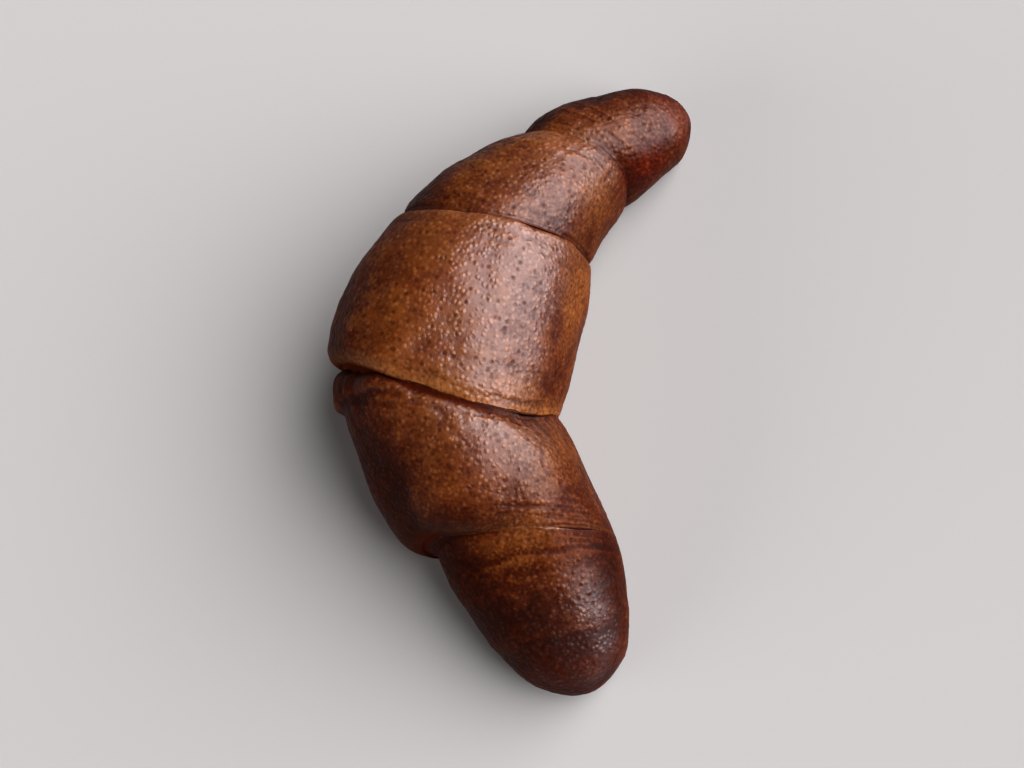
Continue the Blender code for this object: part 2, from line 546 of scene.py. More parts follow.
@dataclass
class Skin:
    """The body's surface as arrays, one row a vertex: what the reliefs read, and what is raised by them."""

    MEAN_RADIUS = 26.0  # of the rolled dough
    BAND_STEP = 61.0  # sets the patterns of one band apart from the next one's
    FLAT_HEIGHT = 4.0  # the height over the tray up to which it holds the dough back
    HELD_IN_CREASE = 0.3  # the share of a relief that is lost in a crease
    PATCH_EDGE = 0.4  # a patch begins at noise so far under 0, and is complete as far over it
    BETWEEN_PATCHES = 0.55  # what is left between the patches
    PATCH_RISE = 0.45  # and how much more there is inside them

    mesh: bpy.types.Mesh
    points: np.ndarray
    normals: np.ndarray
    band: np.ndarray
    from_first: np.ndarray
    from_last: np.ndarray
    turned: np.ndarray
    side: np.ndarray
    up: np.ndarray

    @classmethod
    def of(cls, obj: bpy.types.Object) -> "Skin":
        """Reads the skin of a finished body.

        Args:
            obj: the body, with its attributes.

        Returns:
            Its arrays.
        """
        mesh = obj.data
        normals = np.empty(len(mesh.vertices) * 3, np.float32)
        mesh.vertex_normals.foreach_get("vector", normals)
        named = {
            name: read_attribute(mesh, name)
            for name in ("band", "from_first", "from_last", "turned", "side", "up")
        }
        named["band"] = np.round(named["band"])
        return cls(mesh, vertex_array(mesh), normals.reshape(-1, 3).astype(float), **named)

    def rolled(self) -> np.ndarray:
        """Places on the dough as if the crescent were straight: along it, and round it, in millimetres."""
        along = self.from_first + self.BAND_STEP * self.band
        return np.column_stack((along, self.side * self.MEAN_RADIUS, self.up * self.MEAN_RADIUS))

    def degrees(self) -> np.ndarray:
        """Where each point is round its ring: 0 on the convex side, 90 on the crown, 180 opposite."""
        return np.degrees(np.arctan2(self.up, self.side)) % 360

    def clouds(self, size: float, seed: float = 0.0) -> np.ndarray:
        """Cloudy noise between about -1 and 1, whose spots are about the size in millimetres."""
        return noise_at(self.points / (size * MM) + seed)

    def patches(self, size: float, seed: float) -> np.ndarray:
        """Soft patches of about the size in millimetres: 1 inside them, and less between them."""
        inside = ease(self.clouds(size, seed), -self.PATCH_EDGE, self.PATCH_EDGE)
        return self.BETWEEN_PATCHES + self.PATCH_RISE * inside

    def waves_round(self, count: float, seed: float) -> np.ndarray:
        """Noise that changes round the rings only, the quicker the higher its count is."""
        seeds = np.full(len(self.side), seed)
        return noise_at(np.column_stack((self.side * count, self.up * count, seeds)))

    def away(self, place: Place, size: Place) -> np.ndarray:
        """How far each point is from a round place, as a share of its size each way."""
        return np.linalg.norm((self.points / MM - place) / size, axis=1)

    def smoothed(self, values: np.ndarray, rounds: int) -> np.ndarray:
        """Values averaged with those of their neighbours.

        Args:
            values: one row a vertex.
            rounds: how many times they are averaged.

        Returns:
            The averaged values.
        """
        pairs = np.empty(len(self.mesh.edges) * 2, np.int32)
        self.mesh.edges.foreach_get("vertices", pairs)
        one, other = pairs.reshape(-1, 2).T
        count = np.bincount(pairs, minlength=len(values)).reshape(-1, 1)
        table = values.reshape(len(values), -1)
        for _ in range(rounds):
            total = np.zeros_like(table)
            for column in range(table.shape[1]):
                total[:, column] = np.bincount(one, table[other, column], len(table))
                total[:, column] += np.bincount(other, table[one, column], len(table))
            table = total / count
        return table.reshape(values.shape)

    def raise_by(self, heights: np.ndarray) -> None:
        """Moves the surface out, but leaves the underside flat.

        Args:
            heights: how far each point goes, in millimetres.
        """
        free = ease(self.points[:, 2] / MM, 0.0, self.FLAT_HEIGHT) * (1 - self.HELD_IN_CREASE * self.turned)
        self.points += self.normals * (heights * free * MM).reshape(-1, 1)
        set_vertices(self.mesh, self.points)


class Relief(Protocol):
    """Something that raises or sinks the skin."""

    def heights(self, skin: Skin) -> np.ndarray:
        """How far it raises each point, in millimetres."""


@dataclass(frozen=True)
class Swell:
    """Soft lumps, as unevenly risen dough has them."""

    size: float
    height: float
    seed: float

    def heights(self, skin: Skin) -> np.ndarray:
        """How far it raises each point, in millimetres."""
        return self.height * skin.clouds(self.size, self.seed)


@dataclass(frozen=True)
class Bulge:
    """A place where the dough rose higher, in millimetres."""

    place: Place
    size: Place
    height: float

    def heights(self, skin: Skin) -> np.ndarray:
        """How far it raises each point, in millimetres."""
        return self.height * (1 - ease(skin.away(self.place, self.size), 0.0, 1.0))


@dataclass(frozen=True)
class Stretch:
    """Shallow ridges that run round the bands, where the dough was stretched as it was rolled."""

    BEND = 1.5  # how far the ridges wander, in ridges
    BEND_SIZE = 17.0
    PATCH_SIZE = 15.0  # of the patches that have ridges
    PATCH_EDGE = 0.35

    spacing: float  # from ridge to ridge
    length: float  # of a ridge
    height: float
    seed: float

    def heights(self, skin: Skin) -> np.ndarray:
        """How far the ridges raise the skin.

        Args:
            skin: the body's skin.

        Returns:
            The height at each point, in millimetres.
        """
        rolled = skin.rolled()
        places = rolled / np.array((self.spacing, self.length, self.length)) + self.seed
        places[:, 0] += self.BEND * noise_at(rolled / self.BEND_SIZE + self.seed)
        patches = noise_at(rolled / self.PATCH_SIZE - self.seed)
        return self.height * noise_at(places) * ease(patches, -self.PATCH_EDGE, self.PATCH_EDGE)


@dataclass(frozen=True)
class Pull:
    """Fine ridges along a band where its dough was drawn out from under the next one."""

    FULL = 0.3  # the share of their reach over which they have their full height

    band: int
    reach: float  # how far from the band's edge there are ridges
    spacing: float
    length: float
    height: float
    seed: float
    at_last: bool = False  # they start at the band's last edge, not at the first

    def heights(self, skin: Skin) -> np.ndarray:
        """How far the ridges raise the skin.

        Args:
            skin: the body's skin.

        Returns:
            The height at each point, in millimetres.
        """
        edge = skin.from_last if self.at_last else skin.from_first
        sizes = np.array((self.length, self.spacing, self.spacing))
        near = (1 - ease(edge, self.reach * self.FULL, self.reach)) * (skin.band == self.band)
        return self.height * noise_at(skin.rolled() / sizes + self.seed) * near


@dataclass(frozen=True)
class Blisters:
    """Little bubbles under the egg wash; a negative height makes them pits."""

    CHANCE_STEP = 7.3  # these three scatter the draws for which bubbles there are and how large
    CHANCE_START = Vector((0.5, 3.5, 9.5))
    RADIUS_STEP = 5.1
    LEAST_RADIUS = 0.32  # as a share of the spacing
    RADIUS_RANGE = 0.24
    LEAST_HEIGHT = 0.5

    spacing: float
    height: float
    share: float  # of the bubbles that are there
    patch: float  # the size of the patches in which they are higher
    seed: float

    def heights(self, skin: Skin) -> np.ndarray:
        """How far the bubbles raise the skin.

        Args:
            skin: the body's skin.

        Returns:
            The height at each point, in millimetres.
        """
        places = skin.points / (self.spacing * MM) + self.seed
        out = np.zeros(len(places))
        for i, place in enumerate(places.tolist()):
            distances, centres = noise.voronoi(place)
            chance = abs(noise.cell(centres[0] * self.CHANCE_STEP + self.CHANCE_START))
            if chance < self.share:
                draw = abs(noise.cell(centres[0] * self.RADIUS_STEP))
                radius = self.LEAST_RADIUS + self.RADIUS_RANGE * draw
                inside = max(0.0, 1 - (distances[0] / radius) ** 2)
                out[i] = inside * inside * (self.LEAST_HEIGHT + (1 - self.LEAST_HEIGHT) * chance / self.share)
        return self.height * out * skin.patches(self.patch, self.seed)


@dataclass(frozen=True)
class Fold:
    """The edge of a thin layer, which shows as a small step across part of a band.

    Distances are in millimetres and places round the ring in degrees: 0 is the convex side, 90 the crown.
    """

    BAND_SEED = 13
    COARSE = 2.6  # the waves of its waver
    FINE = 6.0
    FINE_SHARE = 0.35
    SLANT_OVER = 60.0  # the degrees over which it moves by its slant
    FULL = 0.55  # the share of its reach over which it has its full height
    MEAN_HEIGHT = 0.75  # as a share of its full height, about which it varies
    UNEVENNESS = 0.5

    band: int
    at_last: bool  # it is measured from the band's last edge, not from the first
    distance: float  # how far from that edge it is
    height: float
    middle: float  # where the middle of it is round the ring
    reach: float  # how far it reaches round the ring each way
    run: float = 3.0  # how far the layer goes on before it has thinned out
    slant: float = 0.0
    waver: float = 1.2  # how far its line runs ahead and back
    soft: float = 0.32  # half the width of its step

    def heights(self, skin: Skin) -> np.ndarray:
        """How far the layer raises the skin.

        Args:
            skin: the body's skin.

        Returns:
            The height at each point, in millimetres.
        """
        edge = skin.from_last if self.at_last else skin.from_first
        round_by = (skin.degrees() - self.middle + 180) % 360 - 180
        seed = self.distance + self.BAND_SEED * self.band
        ripple = skin.waves_round(self.FINE, -seed)
        waver = self.waver * (skin.waves_round(self.COARSE, seed) + self.FINE_SHARE * ripple)
        past = edge - self.distance - self.slant * round_by / self.SLANT_OVER - waver
        step = ease(past, -self.soft, self.soft) * np.exp(-np.maximum(past - self.soft, 0) / self.run)
        window = 1 - ease(np.abs(round_by), self.reach * self.FULL, self.reach)
        ragged = self.MEAN_HEIGHT + self.UNEVENNESS * ripple
        return self.height * step * window * ragged * (skin.band == self.band)


# Each fold's band, counted from the upper horn, its at_last, distance, height, middle and reach
FOLDS = (
    Fold(1, False, 4.2, 0.3, 95, 60),
    Fold(1, False, 7.4, 0.22, 60, 45),
    Fold(1, True, 3.2, 0.22, 110, 55),
    Fold(2, False, 3.6, 0.26, 75, 62),
    Fold(2, False, 6.3, 0.18, 120, 45),
    Fold(2, True, 2.9, 0.3, 105, 70),
    Fold(2, True, 5.2, 0.24, 70, 50, slant=1.0),
    Fold(2, True, 8.6, 0.16, 125, 40),
    Fold(3, False, 4.0, 0.24, 100, 60),
    Fold(3, False, 7.0, 0.18, 60, 45),
    Fold(3, True, 30.3, 2.4, 10, 80, run=20.0, slant=6.0, waver=0.8, soft=1.0),
    Fold(3, True, 1.2, 0.3, 128, 26, run=0.9, waver=0.5),
    Fold(3, True, 2.7, 0.22, 140, 22, run=0.9, slant=-0.3, waver=0.5),
    Fold(3, True, 4.2, 0.26, 118, 30, run=0.9, slant=-0.6, waver=0.6),
    Fold(3, True, 5.6, 0.2, 136, 24, run=1.0, slant=-0.9, waver=0.6),
    Fold(3, True, 7.0, 0.34, 122, 30, run=1.0, slant=-1.2, waver=0.5),
    Fold(3, True, 8.8, 0.16, 138, 22, run=1.2, slant=-1.3, waver=0.8),
    Fold(4, False, 1.3, 0.24, 134, 26, run=0.9, waver=0.5),
    Fold(4, False, 2.8, 0.2, 120, 22, run=0.9, slant=0.4, waver=0.6),
    Fold(4, False, 4.3, 0.2, 138, 24, run=1.0, slant=0.8, waver=0.7),
    Fold(4, False, 5.6, 0.36, 110, 70, slant=-2.4),
    Fold(4, False, 9.5, 0.16, 70, 50),
    Fold(4, True, 13.0, 0.18, 95, 60),
    Fold(0, True, 5.5, 0.24, 95, 60),
    Fold(0, True, 10.0, 0.16, 70, 50),
)


@dataclass(frozen=True)
class Patch:
    """A soft-edged place on the crust that baked or was washed differently, in millimetres."""

    RAGGED = 0.2  # how uneven its border is
    RAGGED_SIZE = 5.0
    SOLID = 0.2  # the share of its size over which it covers fully

    place: Place
    size: Place
    share: float
    band: int | None = None  # the only band that it is on

    def cover(self, skin: Skin) -> np.ndarray:
        """How far the patch covers the skin.

        Args:
            skin: the body's skin.

        Returns:
            The cover at each point, from 0 up to the patch's share.
        """
        away = skin.away(self.place, self.size)
        away += self.RAGGED * skin.clouds(self.RAGGED_SIZE, self.place[0])
        own = True if self.band is None else skin.band == self.band
        return self.share * (1 - ease(away, self.SOLID, 1.0)) * own


@dataclass(frozen=True)
class CrustSurface:
    """Everything that makes the smooth body a baked one, from its lumps to its blisters.

    "Across" is the place across a ring, from -1 on the concave side over 0 at the crown to 1 on the convex
    one. A pair of marks says where something starts and where it is complete.
    """

    SMOOTHING_ROUNDS = 6  # what stands out is told from a surface smoothed so often
    RAISED_DEPTH = 0.07  # what stands out by so much counts in full
    BOTTOM_LEVELS = (0.1, 0.6)

    # Painted shade down the sides: the marks across, how it wavers, and how much of it each side has
    SHADED_SIDES_ACROSS = (0.2, 1.0)
    SIDE_SHADE_CLOUDS = 9.0
    SIDE_SHADE_WAVER = 0.12
    CONVEX_SIDE_SHADE = 0.98
    CONCAVE_SIDE_SHADE = 0.6
    POINT_TOAST = 1.25  # how much of its band's darkening a horn's point has
    POINT_TOAST_LOSS = 0.85  # how much less of it the band's other end has
    POINT_TOAST_REACH = 0.9
    CONVEX_SHADE_TILT = 0.6  # how much more of it there is on the convex side, as painted shade away from the key light
    WALL_NORMALS = (-0.1, 0.6)  # how far up a normal points on a wall, and on the crown
    CONVEX_WALL_LOSS = 0.65  # the walls get less of the painted darkening
    CONCAVE_WALL_LOSS = 0.25
    FOOT_DARKENING = 0.25
    FOOT_LEVELS = (1.0, 7.0)
    DARKEST = 1.2

    RUDDY_TIPS = 0.35
    TIP_REACH = (2.0, 14.0)

    WASH_CLOUDS = 6.0
    WASH_WAVER = 0.06
    CONVEX_WASH_LOSSES = ((0.6, -0.08, 0.4), (0.33, 0.4, 0.8))  # each with its marks across
    CONCAVE_WASH_LOSS = 0.85
    CONCAVE_WASH_MARKS = (-0.22, 0.16)  # about the reach of its band's wash
    WASH_ALONG = (0.1, 0.75)  # where along a band its wash changes
    WALL_WASH = 0.12
    CROWN_WASH = 0.88
    WASHED_NORMALS = (0.1, 0.6)
    DRY_CREASE = (0.2, 0.8)

    CREASE_DEPTH = 1.4  # a crease as deep as this counts in full
    RIM_WIDTH = 2.6
    RIM_PATCHES = 7.0
    RIM_SEED = 5.5
    RIM_TURN = (0.5, 1.0)
    CONVEX_RIM_LOSS = 0.6
    CONVEX_RIM_MARKS = (0.15, 0.75)

    red: tuple[Patch, ...] = (Patch((50.0, -34.0, 18.0), (12.0, 9.0, 13.0), 0.85),)
    golden: tuple[Patch, ...] = (
        Patch((-37.0, -7.0, 35.0), (7.0, 11.0, 12.0), 0.25),
        Patch((-19.0, -12.0, 31.0), (14.0, 9.0, 16.0), 0.15),
        Patch((-6.0, -8.0, 42.0), (8.0, 12.0, 14.0), 0.35),
        Patch((56.0, -12.0, 28.0), (9.0, 10.0, 12.0), 0.2),
        Patch((18.0, -19.0, 29.0), (20.0, 7.0, 14.0), 0.35),
        Patch((43.0, -23.0, 27.0), (12.0, 8.0, 12.0), 0.25),
    )
    # Painted shade: under the lips of the middle band and the lower shoulder, in the crease by the lower
    # horn, on the convex side away from the key light and on the lower horn
    dark: tuple[Patch, ...] = (
        Patch((-60.0, -4.0, 16.0), (20.0, 16.0, 22.0), 0.35),
        Patch((-44.0, -26.0, 20.0), (16.0, 11.0, 16.0), 0.4),
        Patch((-22.0, 27.0, 24.0), (26.0, 16.0, 26.0), 0.6),
        Patch((8.0, 38.0, 22.0), (22.0, 16.0, 26.0), 0.25),
        Patch((2.0, 26.0, 34.0), (9.0, 26.0, 24.0), 0.9, band=3),
        Patch((-36.0, 9.0, 33.0), (10.0, 16.0, 16.0), 0.75, band=3),
        Patch((5.0, 33.0, 27.0), (8.0, 13.0, 20.0), 0.5, band=2),
    )
    dry: tuple[Patch, ...] = (Patch((-76.0, -20.0, 12.0), (12.0, 16.0, 16.0), 0.75),)
    reliefs: tuple[Relief, ...] = (
        Swell(size=26.0, height=1.1, seed=3.3),
        Swell(size=11.0, height=0.65, seed=9.1),
        Swell(size=5.0, height=0.16, seed=5.7),
        Bulge((-30.0, 9.0, 40.0), (19.0, 17.0, 20.0), height=2.9),
        Bulge((26.0, 12.0, 42.0), (18.0, 18.0, 20.0), height=1.15),
        Stretch(spacing=2.6, length=13.0, height=0.06, seed=2.2),
        Pull(band=3, reach=15.0, spacing=1.9, length=11.0, height=0.26, seed=6.1),
        Pull(band=1, reach=12.0, spacing=1.9, length=10.0, height=0.12, seed=1.3),
        Pull(band=0, reach=14.0, spacing=2.2, length=12.0, height=0.1, seed=8.8, at_last=True),
        *FOLDS,
        Blisters(spacing=3.2, height=0.17, share=0.45, patch=14.0, seed=1.7),
        Blisters(spacing=2.2, height=0.11, share=0.6, patch=12.0, seed=6.3),
        Blisters(spacing=1.8, height=0.12, share=0.65, patch=9.0, seed=4.9),
        Blisters(spacing=2.7, height=-0.2, share=0.25, patch=11.0, seed=8.2),
    )

    def shape(self, skin: Skin) -> None:
        """Raises the skin, and writes down what the finish reads from it.

        Args:
            skin: the smooth body's skin.
        """
        skin.raise_by(sum(relief.heights(skin) for relief in self.reliefs))
        sunk = self.sunk(skin)
        marks = {
            "raised": self.raised(skin),
            "toast_and_shade": self.toast_and_shade(skin),
            "ruddy": self.ruddy(skin),
            "sunk": sunk,
            "washed": self.washed(skin) * (1 - ease(sunk, *self.DRY_CREASE)),
            "rim": self.rim(skin),
            "bottom": 1 - ease(skin.points[:, 2] / MM, *self.BOTTOM_LEVELS),
        }
        for name, values in marks.items():
            add_attribute(skin.mesh, name, values)

    def raised(self, skin: Skin) -> np.ndarray:
        """How far each point stands out from the surface round it, from -1 to 1.

        Args:
            skin: the raised skin.

        Returns:
            The number for each point.
        """
        away = skin.points - skin.smoothed(skin.points, self.SMOOTHING_ROUNDS)
        out = np.einsum("ij,ij->i", away, skin.normals) / MM / self.RAISED_DEPTH
        return np.clip(out, -1, 1)

    def toast_and_shade(self, skin: Skin) -> np.ndarray:
        """How dark each point is painted, from 0 to DARKEST: painted shade down the sides, most on the convex
        side away from the key light, under the lips and on the lower horn, and a browner bake towards the
        horns' points.

        Args:
            skin: the raised skin.

        Returns:
            The number for each point.
        """
        # Painted shade: darker down the sides than on the crown
        across = np.where(skin.up > 0, np.abs(skin.side), 1.0)
        across += self.SIDE_SHADE_WAVER * skin.clouds(self.SIDE_SHADE_CLOUDS)
        toast_and_shade = ease(across, *self.SHADED_SIDES_ACROSS)
        # the convex side, away from the key light, gets more of the painted shade
        toast_and_shade *= np.where(skin.side > 0, self.CONVEX_SIDE_SHADE, self.CONCAVE_SIDE_SHADE)
        for number, band in enumerate(BANDS):
            at_point = skin.from_first if band.first.finish is Finish.POINT else skin.from_last
            far = ease(at_point, 0.0, self.POINT_TOAST_REACH * band.length())
            nearer = self.POINT_TOAST - self.POINT_TOAST_LOSS * far
            # each band's own darkening: a browner bake towards a horn's point, and painted shade on the
            # convex side
            toast_and_shade += band.bake_and_shade * nearer * (1 + self.CONVEX_SHADE_TILT * skin.side) * (skin.band == number)
        # patches of painted shade
        toast_and_shade += sum(patch.cover(skin) for patch in self.dark)
        # the steep walls, the convex ones most, get less of the painted darkening
        wall = 1 - ease(skin.normals[:, 2], *self.WALL_NORMALS)
        toast_and_shade *= 1 - np.where(skin.side > 0, self.CONVEX_WALL_LOSS, self.CONCAVE_WALL_LOSS) * wall
        # darker towards the tray
        toast_and_shade += self.FOOT_DARKENING * (1 - ease(skin.points[:, 2] / MM, *self.FOOT_LEVELS))
        return np.minimum(toast_and_shade, self.DARKEST)

    def ruddy(self, skin: Skin) -> np.ndarray:
        """How red each point has baked, from 0 to 1: at the ends of the horns and by the upper one.

        Args:
            skin: the raised skin.

        Returns:
            The number for each point.
        """
        tips = 1 - ease(np.where(skin.band == 0, skin.from_first, skin.from_last), *self.TIP_REACH)
        tips *= (skin.band == 0) | (skin.band == len(BANDS) - 1)
        return np.maximum.reduce([self.RUDDY_TIPS * tips] + [patch.cover(skin) for patch in self.red])

    def washed(self, skin: Skin) -> np.ndarray:
        """How thick the egg wash lies on each point: thickly on the crowns and thinly on the sides.

        Args:
            skin: the raised skin.

        Returns:
            The number for each point; 1 is one good coat.
        """
        across = np.where(skin.up > 0, skin.side, np.sign(skin.side))
        across += self.WASH_WAVER * skin.clouds(self.WASH_CLOUDS)
        convex = np.ones(len(across))
        for loss, low, high in self.CONVEX_WASH_LOSSES:
            convex -= loss * ease(across, low, high)
        coats = np.zeros(len(across))
        along = skin.from_first / (skin.from_first + skin.from_last)
        for number, band in enumerate(BANDS):
            coat = between(*band.washed, ease(along, *self.WASH_ALONG))
            reach = between(*band.inner_reach, along)
            concave = 1 - self.CONCAVE_WASH_LOSS * ease(-across - reach, *self.CONCAVE_WASH_MARKS)
            coats += coat * concave * (skin.band == number)
        coats *= 1 - sum(patch.cover(skin) for patch in self.dry)
        level = ease(skin.normals[:, 2], *self.WASHED_NORMALS)
        return coats * convex * (self.WALL_WASH + self.CROWN_WASH * level)

    def sunk(self, skin: Skin) -> np.ndarray:
        """How deep in a crease each point is, from 0 to 1.

        Args:
            skin: the raised skin.

        Returns:
            The number for each point.
        """
        depth = np.zeros(len(skin.points))
        for number, band in enumerate(BANDS):
            for edge, own in (
                (band.first, skin.from_first < skin.from_last),
                (band.last, skin.from_first >= skin.from_last),
            ):
                sides = np.where(skin.side > 0, edge.outer_turn, edge.inner_turn)
                turn = sides * skin.side**2 + edge.crown_turn * skin.up**2
                depth += turn * own * (skin.band == number)
        return skin.turned * np.clip(depth / self.CREASE_DEPTH, 0, 1)

    def rim(self, skin: Skin) -> np.ndarray:
        """How golden each point has stayed, from 0 to 1: on the thin rims and in the golden patches.

        Args:
            skin: the raised skin.

        Returns:
            The number for each point.
        """
        near = np.zeros(len(skin.points))
        for number, band in enumerate(BANDS):
            for edge, distance in ((band.first, skin.from_first), (band.last, skin.from_last)):
                here = np.exp(-((distance / self.RIM_WIDTH) ** 2)) * (skin.band == number)
                near = np.maximum(near, here * edge.golden)
        patches = skin.patches(self.RIM_PATCHES, self.RIM_SEED)
        convex = 1 - self.CONVEX_RIM_LOSS * ease(skin.side, *self.CONVEX_RIM_MARKS)
        near *= patches * (1 - ease(skin.turned, *self.RIM_TURN)) * convex
        return np.maximum.reduce([near] + [patch.cover(skin) for patch in self.golden])


@dataclass(frozen=True)
class Change:
    """How a range of values becomes another one; what lies outside it stays at its ends."""

    source: Pair = (0.0, 1.0)
    target: Pair = (0.0, 1.0)


@dataclass
class Shading:
    """A material's nodes, put in one by one."""

    name: str
    material: bpy.types.Material = field(init=False)
    shader: bpy.types.Node = field(init=False)
    places: Socket = field(init=False)

    def __post_init__(self) -> None:
        """Starts the material with its shader and its object coordinates."""
        self.material = bpy.data.materials.new(self.name)
        self.material.use_nodes = True
        self.shader = self.material.node_tree.nodes["Principled BSDF"]
        self.places = self.node("ShaderNodeTexCoord", {}).outputs["Object"]

    def plug(self, node: bpy.types.Node, inputs: dict) -> None:
        """Fills a node's sockets.

        Args:
            node: the node.
            inputs: by name or number, the sockets to link to or the values to set.
        """
        for name, value in inputs.items():
            if isinstance(value, Socket):
                self.material.node_tree.links.new(value, node.inputs[name])
            else:
                node.inputs[name].default_value = value

    def node(self, kind: str, inputs: dict, **settings: object) -> bpy.types.Node:
        """Adds a node.

        Args:
            kind: the node's type.
            inputs: by name or number, the sockets to link to or the values to set.
            settings: the node's own properties.

        Returns:
            The node.
        """
        node = self.material.node_tree.nodes.new(kind)
        for name, value in settings.items():
            setattr(node, name, value)
        self.plug(node, inputs)
        return node

    def noise(self, size: float, detail: float = 3.0, distortion: float = 0.0) -> Socket:
        """Cloudy noise whose spots are about the size in millimetres."""
        inputs = {"Vector": self.places, "Scale": 1 / (size * MM), "Detail": detail}
        return self.node("ShaderNodeTexNoise", inputs | {"Distortion": distortion}).outputs["Fac"]

    def cells(self, size: float) -> Socket:
        """Distances from the nearest of many scattered points, which are about the size apart."""
        inputs = {"Vector": self.places, "Scale": 1 / (size * MM)}
        return self.node("ShaderNodeTexVoronoi", inputs, feature="F1").outputs["Distance"]

    def attribute(self, name: str) -> Socket:
        """A number that the mesh carries."""
        return self.node("ShaderNodeAttribute", {}, attribute_name=name).outputs["Fac"]

    def math(self, operation: str, *values: Value) -> Socket:
        """A sum of numbers or sockets."""
        return self.node("ShaderNodeMath", dict(enumerate(values)), operation=operation).outputs[0]

    def spread(self, value: Value, change: Change) -> Socket:
        """Takes a value through a change."""
        inputs = dict(enumerate((value, *change.source, *change.target)))
        return self.node("ShaderNodeMapRange", inputs).outputs[0]

    def mix(self, share: Value, one: Socket | Colour, other: Socket | Colour, blend: str = "MIX") -> Socket:
        """Mixes two colours.

        Args:
            share: how much of the other colour there is, from 0 to 1.
            one: the first colour.
            other: the other colour.
            blend: how the other colour is laid on.

        Returns:
            The mixed colour.
        """
        one, other = ((*c, 1.0) if isinstance(c, tuple) else c for c in (one, other))
        settings = {"data_type": "RGBA", "blend_type": blend}
        return self.node("ShaderNodeMix", {0: share, 6: one, 7: other}, **settings).outputs[2]

    def ramp(self, value: Value, stops: tuple[tuple[float, Colour], ...]) -> Socket:
        """Turns a number into a colour.

        Args:
            value: the number.
            stops: some numbers in rising order, each with its colour.

        Returns:
            The colour.
        """
        node = self.node("ShaderNodeValToRGB", {0: value})
        elements = node.color_ramp.elements
        while len(elements) < len(stops):
            elements.new(0.5)
        for element, (place, colour) in zip(elements, stops):
            element.position = place
            element.color = (*colour, 1.0)
        return node.outputs[0]

    def bump(self, height: Value, depth: float, under: Socket | None = None) -> Socket:
        """Small relief, laid over other relief.

        Args:
            height: the relief, from 0 to 1.
            depth: how high it is at 1, in millimetres.
            under: the relief under it.

        Returns:
            The relief as a normal.
        """
        inputs = {"Height": height, "Distance": depth * MM, "Strength": 1.0}
        if under is not None:
            inputs["Normal"] = under
        return self.node("ShaderNodeBump", inputs).outputs[0]


